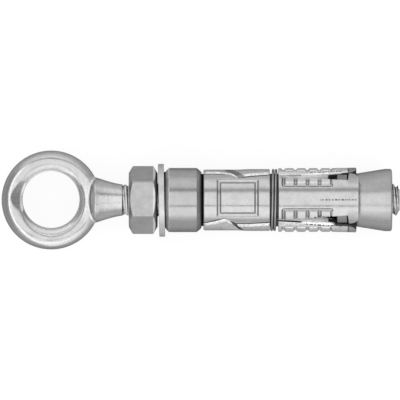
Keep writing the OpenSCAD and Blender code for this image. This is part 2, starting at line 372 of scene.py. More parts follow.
def neck_back(x, bolt_r):
    """Distance beyond the hollow back of the neck, which faces the eye."""
    return (NECK_BACK_X + NECK_BACK_SLOPE * (bolt_r - 2.5) - x) * 0.97


def on_field(points, field, rounds=8, reach=0.25):
    """Points moved onto the surface where the field is zero."""
    step = 0.01
    for _ in range(rounds):
        value = field(points)
        slope = np.stack([(field(points + step * axis) - field(points - step * axis)) / (2 * step)
                          for axis in np.eye(3)], -1)
        move = value[:, None] * slope / np.maximum((slope ** 2).sum(1), 0.1)[:, None]
        length = np.linalg.norm(move, axis=1, keepdims=True)
        points = points - move * np.minimum(1, reach / np.maximum(length, 1e-9))
    return points


def forged_eye(around=96, about=40):
    """Eye and neck as one skin: small cells drawn onto the exact surface."""
    turn = np.linspace(0, 2 * pi, around, endpoint=False)
    bar = np.linspace(0, 2 * pi, about, endpoint=False)
    flat_r = EYE_RING_R + EYE_BAR_R * np.cos(bar)
    ring = np.stack(np.broadcast_arrays(flat_r * np.cos(turn)[:, None],
                                        flat_r * np.sin(turn)[:, None],
                                        EYE_BAR_R * np.sin(bar)), -1)
    stations = np.linspace(NECK_X, SHANK_X, 24)
    side = [[x, r] for x, r in zip(stations, neck_r(stations))]
    outline = [[EYE_RING_R, 0.05], [EYE_RING_R, 2.2]] + side + [[SHANK_X, 0.05]]
    base = piece("eye_base", [(ring, grid_faces(around, about, closed_rows=True)),
                              lathe(np.array(outline), around)])
    remesh = base.modifiers.new("skin", "REMESH")
    remesh.mode = "VOXEL"
    remesh.voxel_size = SKIN_CELL * MM
    skin = base.evaluated_get(bpy.context.evaluated_depsgraph_get()).to_mesh()
    points = np.array([v.co for v in skin.vertices]) / MM
    faces = [list(f.vertices) for f in skin.polygons]
    bpy.data.objects.remove(base)
    return on_field(points, eye_field), faces


# By the angle about the eye: where its outer band starts and its inner band ends, and how much
# painted shade and painted highlight the outer band takes
BAND_ANGLES = [-180, -135, -90, -45, 0, 45, 90, 135, 180]
OUTER_BAND = [9.45, 9.52, 10.25, 10.2, 10.6, 9.75, 9.6, 9.5, 9.45]
OUTER_SHADE = [0.8, 0.75, 0.9, 0.6, 0.5, 0.55, 0.4, 0.6, 0.8]
OUTER_HIGHLIGHT = [0.0, 0.0, 0.4, 0.2, 0.0, 0.08, 0.16, 0.05, 0.0]
INNER_BAND = [6.5, 7.6, 8.15, 7.75, 7.45, 7.2, 6.2, 6.2, 6.5]
# How much painted shade and painted highlight the inner band takes, each with its own angles
INNER_SHADE = ([-110, -60, 0, 45], [0.05, 0.1, 0.25, 0.5])
INNER_HIGHLIGHT = ([-150, -120, -60, 0, 30, 50], [0, 0.22, 0.22, 0.14, 0.1, 0])


def scoop_marks(x, y, z, flat_r):
    """Where the scoop is, the painted shade on its floor, which ends in a soft point, and the
    painted highlight on its rim.
    """
    inside = (np.abs(wear_field(x, y, z)) < 0.08) & (flat_r < 9.0) & (z > 0)
    bend = np.sqrt((y - SCOOP_POINT_Y) ** 2 + 1.0) - 1.0
    past_point = x - SCOOP_POINT_X - np.where(y > SCOOP_POINT_Y, 0.72, 0.95) * bend
    floor = between(flat_r, SCOOP_EDGE_R, 9.1, 0.06) * between(past_point, 0, 9, 0.2)
    rim = strongest(0.35 * (flat_r < SCOOP_EDGE_R), 0.25 * between(past_point, -9, -0.1, 0.2))
    return inside, inside * floor, inside * rim


def band_marks(angle, flat_r, eye, in_scoop):
    """Painted shade and painted highlights on the eye's bands, and a painted shade line beside
    the inner one.
    """
    outer = eye * between(flat_r, np.interp(angle, BAND_ANGLES, OUTER_BAND), 12, 0.15)
    outer *= np.interp(angle, BAND_ANGLES, OUTER_SHADE)
    inner_end = np.interp(angle, BAND_ANGLES, INNER_BAND)
    inner = eye * between(flat_r, 6, inner_end, 0.1) * ~in_scoop
    inner *= np.interp(angle, *INNER_SHADE)
    edge = np.interp(angle, BAND_ANGLES, OUTER_HIGHLIGHT) * eye * between(flat_r, 9.4, 10.1, 0.15)
    hole_side = np.interp(angle, *INNER_HIGHLIGHT) * eye * (flat_r < inner_end)
    line = 0.55 * eye * (inner_end > 7.3) * between(flat_r, inner_end - 0.12, inner_end, 0.08)
    return strongest(outer, inner), strongest(edge, hole_side), line * ~in_scoop


def neck_marks(x, y, neck):
    """Painted shade and a painted highlight on the neck's side."""
    start = 0.5 * neck * between(x, NECK_X - 1, NECK_X + 0.1, 0.9)
    low = 0.3 * neck * between(y, -3.4, -2.0, 0.4)
    middle = 0.17 * neck * between(y, -0.9, 0.7, 0.6) * between(x, NECK_X + 0.9, SHANK_X, 0.8)
    return strongest(start, low), middle


def forged_marks(points):
    """Painted shade and painted highlights on the forged eye and neck, and a painted shade line.
    """
    x, y, z = points.T
    flat_r = np.hypot(x, y)
    bolt_r = np.hypot(y, z)
    angle = np.degrees(np.arctan2(y, x))
    on_top = z > 0
    off_ring = np.hypot(flat_r - EYE_RING_R, z) - EYE_BAR_R
    eye = on_top * (off_ring < 0.1)
    in_scoop, scoop_shade, rim = scoop_marks(x, y, z, flat_r)
    bands, band_shine, line = band_marks(angle, flat_r, eye, in_scoop)
    neck, neck_shine = neck_marks(x, y, on_top * (x > NECK_X) * (x < SHANK_X))
    # Painted shade and a weaker painted highlight on the back of the neck; painted highlights
    # along the crest of the far side, on the upper side of the hole's rim and along the seam
    # where the neck meets the eye
    back = (x > EYE_RING_R - 1) & (x < NECK_X - 0.1) & (bolt_r < 5.2) & (off_ring > 0.1)
    crest = 0.65 * on_top * np.clip((-4.0 - x) / 3.0, 0, 1) * between(flat_r, 9.1, 9.3, 0.12)
    top = 0.6 * eye * between(angle, 35, 160, 25) * between(flat_r, 6, 6.6, 0.2)
    seam = 0.35 * on_top * (x > EYE_RING_R - 1) * (x < NECK_X) * (bolt_r < 5.4)
    seam = seam * between(off_ring, 0.03, 0.2, 0.05)
    return {"painted_shade": strongest(scoop_shade, bands, neck, 0.25 * back),
            "cut": strongest(rim, band_shine, neck_shine, crest, top, seam, 0.18 * back),
            "dark": line}


def thread_crest(x):
    """Radius of the thread's crest, which rises from the neck and tapers to the tip."""
    return np.interp(x, [SHANK_X, NUT_X + 0.3, NUT_X + 1.6, TAIL_X - TAIL_TAPER, TAIL_X],
                     [THREAD_START_R, THREAD_START_R, THREAD_R, THREAD_R, TAIL_TIP_R])


def thread(start, end, steps=72, per_turn=12):
    """A right-hand thread from start to end, closed at both ends."""
    rows = (int((end - start) / THREAD_PITCH) + 3) * per_turn
    turn = np.linspace(0, 2 * pi, steps, endpoint=False)
    row = np.arange(rows)
    x = (start - 1.5 * THREAD_PITCH + row[:, None] * THREAD_PITCH / per_turn
         + THREAD_PITCH * turn / (2 * pi))
    phase = np.abs(2 * ((row % per_turn) / per_turn) - 1)
    height = np.clip((phase - THREAD_ROOT) / THREAD_FLANK, 0, 1)
    inside = np.clip(x, start, end)
    depth = np.interp(inside, [NUT_X + 0.3, NUT_X + 1], [THREAD_START_DEPTH, THREAD_DEPTH])
    r = thread_crest(inside) - depth * (1 - height[:, None])
    points = np.stack([inside, r * np.cos(turn), r * np.sin(turn)], -1)
    # The last column meets the first one a whole turn further along
    i, j = np.meshgrid(np.arange(rows - 1), np.arange(steps), indexing="ij")
    next_i = i + np.where(j == steps - 1, per_turn, 0)
    next_j = (j + 1) % steps
    corners = np.stack([i * steps + j, next_i * steps + next_j, (next_i + 1) * steps + next_j,
                        (i + 1) * steps + j], -1)[next_i + 1 < rows]
    place = x.ravel()[corners]
    used = (place > start).any(-1) & (place < end).any(-1)
    return points, corners[used].tolist()


def make_eyebolt():
    """The forged eye and neck, the thread, and a plain core inside the thread."""
    tip = TAIL_X - 0.35
    core = rounded([[SHANK_X - 0.4, 0.05, 0], [SHANK_X - 0.4, 2.7, 0], [tip, 2.62, 0.05],
                    [TAIL_X, 2.3, 0.1], [TAIL_X, 0.05, 0]])
    shells = [forged_eye(), thread(SHANK_X, tip), lathe(core, 72)]
    rest = np.concatenate([np.reshape(points, (-1, 3)) for points, _ in shells[1:]])
    marks = {mark: np.concatenate([values, np.zeros(len(rest))])
             for mark, values in forged_marks(shells[0][0]).items()}
    # Painted light on the thread just before the nut
    marks["cut"][-len(rest):] = 0.3 * between(rest[:, 0], NUT_X - 0.75, NUT_X + 0.1, 0.1)
    return piece("forged_eyebolt", shells, marks=marks)


# Nut, washer and collar


def hex_r(turn):
    """Radius of a hexagon with rounded corners, with the middle of a flat at angle zero."""
    from_flat = np.abs((turn + pi / 6) % (pi / 3) - pi / 6)
    half = NUT_FLATS / 2
    return join_soft(half / np.cos(from_flat), half / np.cos(pi / 3 - from_flat),
                     NUT_EDGE_ROUND)


def make_hex_nut():
    """A hexagon with conical chamfers at both ends and a countersunk bore."""
    columns = 240
    turn = np.linspace(0, 2 * pi, columns, endpoint=False)
    ends = np.concatenate([[0, 0.03, 0.08], np.arange(0.15, 1.2, 0.06)])
    middle = np.linspace(1.3, NUT_END_X - NUT_X - 1.3, 6)
    offsets = np.concatenate([ends, middle, (NUT_END_X - NUT_X) - ends[::-1]])
    depth = np.minimum(offsets, NUT_END_X - NUT_X - offsets)
    cone = NUT_FACE_R + depth / tan(radians(NUT_CHAMFER))
    side = join_soft(hex_r(turn), cone[:, None], NUT_CHAMFER_ROUND)
    bore_x = [NUT_X, NUT_X + NUT_SINK, NUT_END_X - NUT_SINK, NUT_END_X]
    bore_r = NUT_BORE_R + np.array([[NUT_SINK], [0], [0], [NUT_SINK]])
    stations = np.append(bore_x, (NUT_X + offsets)[::-1])
    r = np.concatenate([np.repeat(bore_r, columns, axis=1), side[::-1]])
    points = turned(about_bolt(stations[:, None], r, turn), -NUT_TURNED)
    x = points[..., 0]
    # Painted highlights on the chamfer by the washer and on the face towards the eye, and painted
    # shadow where the nut meets the washer
    chamfer = 0.35 * between(x, NUT_END_X - 0.9, NUT_END_X, 0.1)
    chamfer += 0.7 * between(x, NUT_X, NUT_X + 0.05, 0.05)
    shadow = 0.75 * between(x, NUT_END_X - 0.35, NUT_END_X, 0.2)
    faces = grid_faces(len(stations), columns, closed_rows=True)
    return piece("plated_hex_nut", [(points, faces)], sharp=50,
                 marks={"cut": chamfer, "dark": shadow})


def make_washer():
    """A flat ring in its node's place, leaning a little."""
    half = WASHER_T / 2
    outline = rounded([[-half, WASHER_HOLE_R, 0.12], [half, WASHER_HOLE_R, 0.12],
                       [half, WASHER_R, 0.14], [-half, WASHER_R, 0.22]])
    points, faces = lathe(outline)
    lo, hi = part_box("washer")
    middle = (lo + hi) / 2 / MM
    a = radians(WASHER_LEAN)
    x = points[..., 0] * cos(a) - points[..., 1] * sin(a) + middle.x
    y = points[..., 0] * sin(a) + points[..., 1] * cos(a) + middle.y
    washer = np.stack([x, y, points[..., 2] + middle.z], -1)
    return piece("flat_washer", [(washer, faces)], marks={"cut": np.full(x.shape, 0.13)})


# How much painted shade the drawn collar takes, by its height across the picture
COLLAR_TONE_Y = [-7.0, -5.6, -3.8, -3.3, 2.7, 3.1, 4.4, 4.9]
COLLAR_SHADE = [0.9, 0.5, 0.5, 0, 0, 0.3, 0.3, 0]


def make_collar():
    """A drawn cup, with the creases of the drawing die beside its rounded ends."""
    outline = rounded([
        [BOSS_X, COLLAR_HOLE_R, 0.1], [BOSS_X, COLLAR_R - 0.9, 0.05],
        [COLLAR_X, COLLAR_R - 0.85, 0.03],
        [COLLAR_X + 0.28, COLLAR_R - 0.45, 0.15], [COLLAR_X + 0.72, COLLAR_R, 0.1],
        [MOUTH_X - 0.92, COLLAR_R, 0.1], [MOUTH_X - 0.42, COLLAR_R - 0.4, 0.22],
        [LIP_X, COLLAR_R - 0.93, 0.06], [MOUTH_X - 0.3, COLLAR_BORE_R, 0.05],
        [COLLAR_X + COLLAR_FLOOR, COLLAR_BORE_R, 0.1],
        [COLLAR_X + COLLAR_FLOOR, COLLAR_HOLE_R, 0.15]], support=0.03)
    points, faces = lathe(outline)
    x = points[..., 0]
    # Painted shade on the bevel by the mouth and on the boss by the washer, and a painted
    # highlight on the rounded start
    bevel = 0.3 * between(x, MOUTH_X - 0.8, LIP_X, 0.2) + 0.96 * between(x, BOSS_X, COLLAR_X)
    start = 0.5 * between(x, COLLAR_X, COLLAR_X + 0.75, 0.1)
    painted_shade = np.interp(points[..., 1], COLLAR_TONE_Y, COLLAR_SHADE)
    return piece("drawn_collar", [(points, faces)], sharp=50,
                 marks={"dark": bevel, "cut": start, "painted_shade": painted_shade})


# Shield


def softened(x, values, reach=0.09):
    """A line sampled at x with its corners rounded off."""
    fine = np.arange(x[0] - 1, x[-1] + 1, 0.01)
    line = np.interp(fine, x, values)
    offsets = np.arange(-3 * reach, 3 * reach + 0.005, 0.01)
    weight = np.exp(-(offsets / reach) ** 2)
    return fine, np.convolve(np.pad(line, len(weight) // 2, mode="edge"),
                             weight / weight.sum(), mode="valid")


def edge_line(side, leans_out, end_x, wing):
    """Stations and reach of one edge past the middle of the slit, as in the part's source."""
    steps = [(STEP_A, 1.05), (STEP_B, -0.35)]
    if leans_out:
        steps = [(STEP_A - 1.0, -0.35), (STEP_B - 0.5, 1.3)]
    bends = [(FRONT_X - 0.32, 1.05)] + steps + [(GROOVE_X + 0.47, 0.65)]
    line = [(ROOT_X, -ROOT_SLIT_HALF), (FRONT_X - 0.34, -ROOT_SLIT_HALF)]
    line += [(x, side * reach - SLIT_HALF) for x, reach in bends]
    line += [(REAR_X - 0.47, -SLIT_HALF), (WINDOW_X, -WINDOW_HALF)]
    top = -WINDOW_HALF
    if wing:
        top = WING_REACH
        line.append((WINDOW_X + 0.02, top))
    for a in np.linspace(90, 0, 13):
        line.append((end_x - TIP_CORNER_R + TIP_CORNER_R * cos(radians(a)),
                     top - TIP_CORNER_R + TIP_CORNER_R * sin(radians(a))))
    return np.array(line).T


def shell_stations(end_x):
    """Rows along a segment, close together where its outline turns."""
    rows = [np.arange(ROOT_X, MOUTH_X - 0.5, 0.45), np.arange(FRONT_X + 0.6, end_x - 0.5, 0.1)]
    for place, offsets in (
            (MOUTH_X, [-0.4, -0.35, -0.25, -0.2, -0.1]),
            (EDGE_X, [0, 0.01, 0.05]),
            (FRONT_X, [-0.4, -0.33, -0.3, 0.04, 0.1, 0.17, 0.24, 0.31, 0.37, 0.43, 0.5, 0.56]),
            (GROOVE_X, [-0.2, -0.14, -0.09, -0.05, -0.02, 0, 0.01]),
            (REAR_X, [-0.01, 0, 0.02, 0.05, 0.09, 0.14, 0.2]),
            (WINDOW_X, [-0.03, 0, 0.02, 0.05]),
            (end_x, [-0.5, -0.4, -0.32, -0.25, -0.19, -0.14, -0.1, -0.06, -0.03, -0.01, 0])):
        rows.append(place + np.array(offsets))
    rows = np.unique(np.round(np.concatenate(rows), 4))
    return rows[np.append(True, np.diff(rows) > 0.006)]


def outer_r(x, end_x):
    """Outer radius of the shell before dents, engraving and rounded edges."""
    profile = [
        (ROOT_X, ROOT_R), (MOUTH_X - 0.4, ROOT_R), (MOUTH_X - 0.2, NECKED_R),
        (EDGE_X, NECKED_R), (EDGE_X + 0.01, FRONT_R - 0.22), (EDGE_X + 0.1, FRONT_R - 0.1),
        (EDGE_X + 0.25, FRONT_R - 0.01), (EDGE_X + 0.4, FRONT_R), (STEP_A + 2.0, FRONT_R),
        (STEP_A + 4.0, FRONT_END_R), (GROOVE_X - 0.14, FRONT_END_R),
        (GROOVE_X - 0.05, FRONT_END_R - 0.04), (GROOVE_X, FRONT_END_R - 0.14),
        (GROOVE_X + 0.01, GROOVE_R), (REAR_X - 0.01, GROOVE_R), (REAR_X, REAR_R - 0.14),
        (REAR_X + 0.05, REAR_R - 0.04), (REAR_X + 0.14, REAR_R), (NOTCH_X + 10.5, REAR_R),
        (end_x, TIP_R)]
    return np.interp(x, *zip(*profile))


def cone_r(x):
    """Radius of the cone before its land."""
    return CONE_R - (CONE_LAND_X - x) * tan(radians(CONE_ANGLE))


def inner_r(x):
    """Radius of the bore, which opens into the seat of the cone."""
    seat = cone_r(x) + SEAT_ROOM / cos(radians(CONE_ANGLE))
    bore = np.interp(x, [ROOT_X, FRONT_X, FRONT_X + 0.5], [ROOT_BORE_R, ROOT_BORE_R, BORE_R])
    return np.maximum(bore, seat)


def groove_depth(distance, depth, width):
    """Depth of an engraved line with sloped walls, at a distance from its middle."""
    return depth * np.clip((width / 2 - distance) / (width * ENGRAVE_WALL), 0, 1)


def past_frame(x, y, line_w=0.0):
    """Distance beyond the engraved frame, or beyond the middle of its line."""
    out_x = np.abs(x - FRAME_MIDDLE_X) - (FRAME_LEN - line_w) / 2
    out_y = np.abs(y) - (FRAME_W - line_w) / 2
    return np.maximum(out_x, out_y)


def frame_engraving(x, y):
    """Depth of the bare engraved frame on a marked segment."""
    return groove_depth(np.abs(past_frame(x, y, FRAME_LINE_W)), ENGRAVE_DEPTH, FRAME_LINE_W)


def frame_border(x, y):
    """Where painted shade lies along the outer border of the engraved frame."""
    return between(past_frame(x, y), -0.16, -0.02, 0.06)


def pad_engraving(x, y, row_y, beyond):
    """Depth of a comb of pads: a line with notches above it (1), below it (-1) or none (0)."""
    length = PAD_COUNT * PAD_PITCH
    end_gap = np.maximum(np.abs(x - NOTCH_X - length / 2) - length / 2, 0)
    line = groove_depth(np.hypot(y - row_y, end_gap), PAD_LINE_DEPTH, ENGRAVE_W)
    along = x - NOTCH_X
    offset = (along + PAD_PITCH / 2) % PAD_PITCH - PAD_PITCH / 2
    offset = np.where((along < -PAD_PITCH / 2) | (along > length - 0.8), PAD_PITCH, offset)
    notch = groove_depth(np.abs(offset), NOTCH_DEPTH, NOTCH_W)
    notch = np.maximum(notch, groove_depth(np.abs(along - length + 0.1), 0.3, 0.45))
    inside = np.clip(((y - row_y) * beyond + 0.05) / 0.15, 0, 1) * abs(beyond)
    return np.maximum(line, notch * inside)


def pad_rows(x, y, row_y, beyond):
    """Depth of the two combs of a segment, one each side of its middle."""
    return np.maximum(pad_engraving(x, y, row_y, beyond), pad_engraving(x, y, -row_y, -beyond))


def past_facet(x, y, side):
    """Distance along the bolt beyond the middle of the slanting facet that ends a dent."""
    return x - side.facet_x + side.slant * y


def dent(past, y):
    """Depth of the dent of a plain segment, at a distance past its slanting facet."""
    sink = np.clip((past + DENT_LEN) / DENT_FADE, 0, 1)
    sink = sink * sink * (3 - 2 * sink)
    profile = np.where(past < -0.5, sink, np.clip(0.5 - past, 0, 1))
    return DENT_DEPTH * profile * np.clip((np.abs(y) - 0.6) / 1.4, 0, 1)


def round_drop(distance, size):
    """How far a rounded edge lies below the surface, at a distance from the edge."""
    inside = np.clip(size - distance, 0, size)
    return size - np.sqrt(np.maximum(size ** 2 - inside ** 2, 0))


# Distances of the outer columns from an edge, as parts of the size of its rounding
NEAR_EDGE = np.array([0, 0.06, 0.18, 0.35, 0.55, 0.78, 0.94, 1.0, 1.07, 1.13, 1.4])
FIXED_COLUMNS = 72
SIDE_COLUMNS = 12
WALL_COLUMNS = 6
BORE_COLUMNS = 21
# Height up to which the columns keep their heights, on each kind of segment
MARKED_LEVEL_Y = 3.55
PLAIN_LEVEL_Y = 3.2


def column_turns(r, edge_plus, edge_minus, size, fixed_y):
    """Angles of the outer columns, which keep their heights away from the edges."""
    near = size[:, None] * NEAR_EDGE
    fixed = np.linspace(-fixed_y, fixed_y, FIXED_COLUMNS)
    fixed_turn = np.arcsin(fixed / r[:, None])

    def drawn_in(edge):
        """How far the fixed columns close up where the edge comes inside them."""
        room = (edge - near[:, -1] / r) * 0.98
        return np.minimum(1, room / np.arcsin(fixed_y / r))[:, None]

    def side_columns(edge, start):
        """Columns from the fixed ones out to an edge, close together beside it."""
        far_turn = edge[:, None] - near / r[:, None]
        t = np.linspace(0, 1, SIDE_COLUMNS + 2)[1:-1]
        filling = start + (far_turn[:, -1:] - start) * t
        return np.concatenate([filling, far_turn[:, ::-1]], axis=1)

    fixed_turn = fixed_turn * np.where(fixed > 0, drawn_in(edge_plus), drawn_in(edge_minus))
    plus_turn = side_columns(edge_plus, fixed_turn[:, -1:])
    minus_turn = -side_columns(edge_minus, -fixed_turn[:, :1])[:, ::-1]
    return np.concatenate([minus_turn, fixed_turn, plus_turn], axis=1)


def cut_wall(xs, outer, inner, reach, sign):
    """The sheared face of one edge, flat and parallel to the middle of the slit."""
    outer_along = np.sqrt(outer ** 2 - reach ** 2)
    inner_along = np.sqrt(inner ** 2 - np.minimum(np.abs(reach), inner * 0.98) ** 2)
    t = np.linspace(0, 1, WALL_COLUMNS + 2)[1:-1]
    along = outer_along[:, None] + (inner_along - outer_along)[:, None] * t
    across = reach[:, None]
    half = sqrt(0.5)
    return np.stack(np.broadcast_arrays(
        xs[:, None], sign * half * (along + across), half * (along - across)), -1)


def bore_skin(xs, inner, plus, minus):
    """The inside of a segment, from its plus edge to its minus edge."""
    from_plus = radians(45) + np.arcsin(plus / inner)
    to_minus = radians(45) + np.arcsin(minus / inner)
    t = np.linspace(0, 1, BORE_COLUMNS)
    turn = from_plus[:, None] - (from_plus + to_minus)[:, None] * t
    return about_bolt(xs[:, None], inner[:, None], turn)


def segment_shell(end_x, plus_edge, minus_edge, level_y, carving, quarter, edge_round):
    """One segment as rows of points round its section, and what its marks depend on.

    That is how sheared each point is, its x and y before the segment is turned into place, and
    its distance from the nearest edge, which is -1 on the walls and inside.
    """
    xs = shell_stations(end_x)
    plus = np.interp(xs, *softened(*plus_edge))
    minus = np.interp(xs, *softened(*minus_edge))
    size = np.interp(xs, *edge_round)
    r = outer_r(xs, end_x)
    ri = inner_r(xs)
    edge_plus = radians(45) + np.arcsin(plus / r)
    edge_minus = radians(45) + np.arcsin(minus / r)
    turn = column_turns(r, edge_plus, edge_minus, size, level_y)
    x = xs[:, None]
    to_edge = np.minimum(edge_plus[:, None] - turn, turn + edge_minus[:, None]) * r[:, None]
    drop = round_drop(np.maximum(to_edge, 0), size[:, None])
    drop += np.where(x > FRONT_X + 0.02, carving(x, r[:, None] * np.sin(turn)), 0)
    drop += round_drop(end_x - x, END_ROUND) * (x > end_x - END_ROUND)
    rr = np.maximum(r[:, None] - drop, ri[:, None] + THINNEST)
    plus_wall = cut_wall(xs, rr[:, -1], ri, plus, 1)
    minus_wall = cut_wall(xs, rr[:, 0], ri, minus, -1)[:, ::-1]
    loop = np.concatenate([about_bolt(x, rr, turn), plus_wall, bore_skin(xs, ri, plus, minus),
                           minus_wall], axis=1)
    faces = tube_faces(*loop.shape[:2])
    from_edge = np.full(loop.shape[:2], -1.0)
    from_edge[:, :turn.shape[1]] = to_edge
    # More than 1 on the walls, so that the mottling leaves them plain
    cut = np.full(loop.shape[:2], 2.0)
    cut[:, :turn.shape[1]] = np.clip(1 - (to_edge - 0.8 * size[:, None]) / 0.15, 0, 1)
    cut[:, turn.shape[1] + WALL_COLUMNS:-WALL_COLUMNS] = 0
    cut[-1] = 1
    shell = turned(loop, -SHIELD_TURNED - 90 * quarter), faces
    return shell, cut, loop[..., 0], loop[..., 1], from_edge


def shaded(cut, x, from_edge):
    """Painted shade on a segment: in the gap by the mouth, in the groove and in the pockets by
    the lugs.
    """
    mouth = between(x, MOUTH_X - 0.5, EDGE_X)
    groove = 0.8 * between(x, GROOVE_X + 0.02, REAR_X - 0.02) * (from_edge >= 0)
    pocket = 0.97 * between(x, LUG_X - 1.85, TIP_X, 0.15) * (cut > 0) * (from_edge < 0)
    return strongest(mouth, groove, pocket)


def dashes(x):
    """Uneven dashes along the bolt, which break up the painted shade along an edge, and the
    scratch.
    """
    return np.sin(x * 2 * pi / 0.93) + np.sin(x * 2 * pi / 0.59 + 1) > -0.2


# Stations and sizes of the rounding along the edges of a marked segment
MARKED_ROUND = ([ROOT_X, TIP_X], [0.16, 0.16])


def marked_carving(x, y):
    """Depth of the frame and the pads of a marked segment."""
    return np.maximum(frame_engraving(x, y), pad_rows(x, y, MARKED_ROW_Y, 1))


def marked_dark(x, y, from_edge, scratched):
    """Darkened places of a marked segment: painted shade in dashes along its lower edge, in the
    notches, along the lines and the frame's border, and the scratch.
    """
    outside = from_edge >= 0
    rear = outside * (x > REAR_X)
    edge = dashes(x) * between(x, LUG_X - 5.2, LUG_X - 1.9) * between(from_edge, 0, 0.3, 0.04)
    notches = marked_carving(x, y) * (np.abs(y) > MARKED_ROW_Y) * rear
    line = pad_engraving(x, np.abs(y), MARKED_ROW_Y, 0) * rear
    scratch = between(x, WINDOW_X - 6, TIP_X - 0.2, 0.3) * between(y, -0.62, -0.4, 0.08)
    return strongest(
        0.85 * edge * (y < 0),
        0.38 * np.clip((notches - 0.28) / 0.1, 0, 1),
        0.16 * np.clip(line / 0.2, 0, 1),
        0.3 * frame_border(x, y) * outside,
        0.8 * dashes(x * 1.3) * scratch * (from_edge > 1) * scratched)


def marked_shear_and_highlight(cut, x, y, from_edge):
    """Sheared edges of a marked segment, with its outer rims painted lighter on the upper side
    than the lower and less by the lugs, and a painted highlight along its upper pads.
    """
    outside = from_edge >= 0
    edges = cut * (x > REAR_X) * np.where(outside, np.where(y > 0, 0.5, 0.15), 1)
    edges = edges * np.where(outside & (x > LUG_X - 1.5), 0.3, 1)
    pads = between(x, NOTCH_X + 0.4, NOTCH_X + PAD_COUNT * PAD_PITCH - 0.5)
    return strongest(edges, 0.22 * pads * between(y, 3.2, 3.5, 0.1) * outside)


def make_marked_segment(name, quarter):
    """A segment with the engraved frame and two rows of pads, the first one scratched."""
    shell, cut, x, y, from_edge = segment_shell(
        MARKED_END_X, edge_line(1, False, MARKED_END_X, True),
        edge_line(1, True, MARKED_END_X, True), MARKED_LEVEL_Y, marked_carving, quarter,
        MARKED_ROUND)
    dark = strongest(shaded(cut, x, from_edge), marked_dark(x, y, from_edge, quarter == 0))
    # Painted shade towards the sides of the rear end, beyond the window
    painted_shade = 0.6 * np.clip((np.abs(y) - 2.7) / 0.8, 0, 1) * between(x, WINDOW_X, TIP_X, 0.6)
    return piece(name, [shell], marks={"cut": marked_shear_and_highlight(cut, x, y, from_edge), "dark": dark,
                                       "painted_shade": painted_shade * (from_edge >= 0)})


# What differs between the plain segments: the facet that ends the dent, how much painted shade
# some places take, the start and width of the wing's painted shadow, and the rounding and
# painted highlight of the edge in the window
Side = namedtuple("Side", "facet_x slant facet_dark tip_dark dash_dark slit_dark wing_x "
                          "shadow_w window_round window_cut")
LEFT_SIDE = Side(facet_x=37.4, slant=0.94, facet_dark=0.65, tip_dark=0.55, dash_dark=0.8,
                 slit_dark=0.4, wing_x=LUG_X + 1.2, shadow_w=0.0, window_round=0.42,
                 window_cut=0.2)
RIGHT_SIDE = Side(facet_x=42.5, slant=0.67, facet_dark=0.92, tip_dark=0.4, dash_dark=0.95,
                  slit_dark=0.95, wing_x=LUG_X - 0.4, shadow_w=0.35, window_round=0.58,
                  window_cut=0.6)


def plain_round(side):
    """Stations and sizes of the rounding along the edges of a plain segment."""
    return ([ROOT_X, GROOVE_X, REAR_X, REAR_X + 5, LUG_X - 2, LUG_X - 0.3, TIP_X],
            [0.45, 0.45, 0.3, 0.32, side.window_round, 0.4, 0.3])


def plain_dark(x, y, from_edge, side):
    """Painted shade on a plain segment: on the facet, the tip and the seam, under the wing, in
    dashes along the edges and in the slit.
    """
    outside = from_edge >= 0
    size = np.interp(x, *plain_round(side))
    facet = between(past_facet(x, y, side), -0.55, 0.55, 0.1)
    tip = between(x, WINDOW_X - 0.1, TIP_X + 1, 0.1)
    seam = between(x, WINDOW_X - 0.1, WINDOW_X + 0.08, 0.06)
    under_wing = between(x, side.wing_x, TIP_X, 0.5) * between(from_edge, -1, side.shadow_w, 0.1)
    edge = dashes(x) * between(from_edge, 0.7 * size, 1.45 * size, 0.05)
    slit = np.where(x < GROOVE_X, 0.85, side.slit_dark) * (x < REAR_X + 5)
    return strongest(
        side.facet_dark * facet * outside * np.clip((np.abs(y) - 0.7) / 0.5, 0, 1),
        side.tip_dark * tip * outside,
        0.8 * seam * outside,
        0.93 * under_wing,
        side.dash_dark * edge * between(x, LUG_X - 7.3, LUG_X + 1),
        slit * between(from_edge, 0, 0.45 * size, 0.1 * size))


def plain_shear_and_highlight(cut, x, from_edge, side):
    """Sheared edges of a plain segment, with painted light that is brightest in the window, and
    painted highlights on the strips beside them.
    """
    window = between(x, LUG_X - 6.5, LUG_X - 1.9, 1.5)
    edges = (0.3 + side.window_cut * window) * cut
    strip = 0.32 * between(x, REAR_X, LUG_X) * between(from_edge, 0, 1.3, 0.4)
    shine = 0.5 * between(x, FRONT_X + 0.5, GROOVE_X - 0.3) * between(from_edge, 0.2, 0.9, 0.35)
    base = np.where(x < GROOVE_X, 0.12, 0.2)
    return np.where(from_edge >= 0, strongest(edges, strip, shine, base), cut)


def make_plain_segment(name, quarter, side):
    """A segment with one row of pads over its middle, and a dent that ends in a facet."""
    def carving(x, y):
        rows = pad_rows(x, y, PLAIN_ROW_Y, -1)
        comb = np.where(np.abs(y) < PLAIN_ROW_Y - 0.1, rows, 0)
        line = 0.35 * pad_engraving(x, np.abs(y), PLAIN_ROW_Y, 0)
        return np.maximum(comb, line) + dent(past_facet(x, y, side), y)
    shell, cut, x, y, from_edge = segment_shell(
        TIP_X, edge_line(-1, True, TIP_X, False), edge_line(-1, False, TIP_X, False),
        PLAIN_LEVEL_Y, carving, quarter, plain_round(side))
    dark = strongest(shaded(cut, x, from_edge), plain_dark(x, y, from_edge, side))
    return piece(name, [shell], marks={"cut": plain_shear_and_highlight(cut, x, from_edge, side), "dark": dark})


# Spring ring and cone nut


